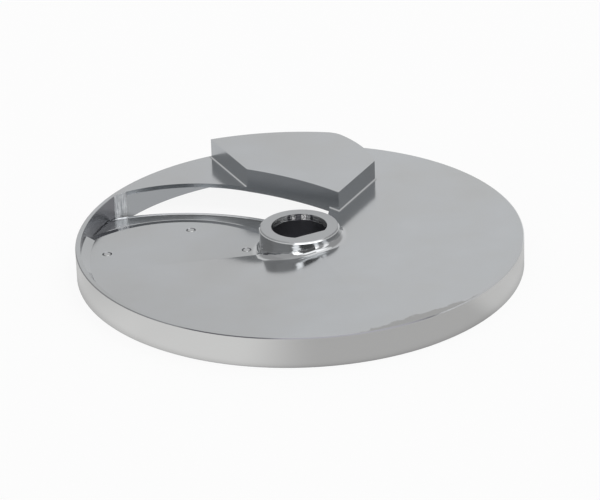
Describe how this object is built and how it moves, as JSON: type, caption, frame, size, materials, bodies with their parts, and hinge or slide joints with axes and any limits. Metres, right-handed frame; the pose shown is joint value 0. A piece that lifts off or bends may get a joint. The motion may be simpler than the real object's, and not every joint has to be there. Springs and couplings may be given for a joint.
{
  "type": "thick slicing disc",
  "caption": "Round metal slicing disc with a plain rim, a spiral deck, a curved blade in a wide slot, a raised pusher block and a hub with a D-shaped drive socket.",
  "frame": {"origin": "on the turning axis, in the plane of the rim's lower edge, on which the disc lies", "axes": "+Z along the turning axis from the rim's lower edge towards the hub's end; +X to the right and +Y to the back as the picture shows the disc"},
  "size_m": [0.205, 0.205, 0.024],
  "materials": {
    "disc_body": "satin, turned",
    "slicing_blade": "ground and honed",
    "blade_screws": "plain"
  },
  "bodies": {
    "root": {"disc_body": "disc_body", "slicing_blade": "slicing_blade", "blade_screw_1": "blade_screws", "blade_screw_2": "blade_screws", "blade_screw_3": "blade_screws"}
  },
  "joints": []
}
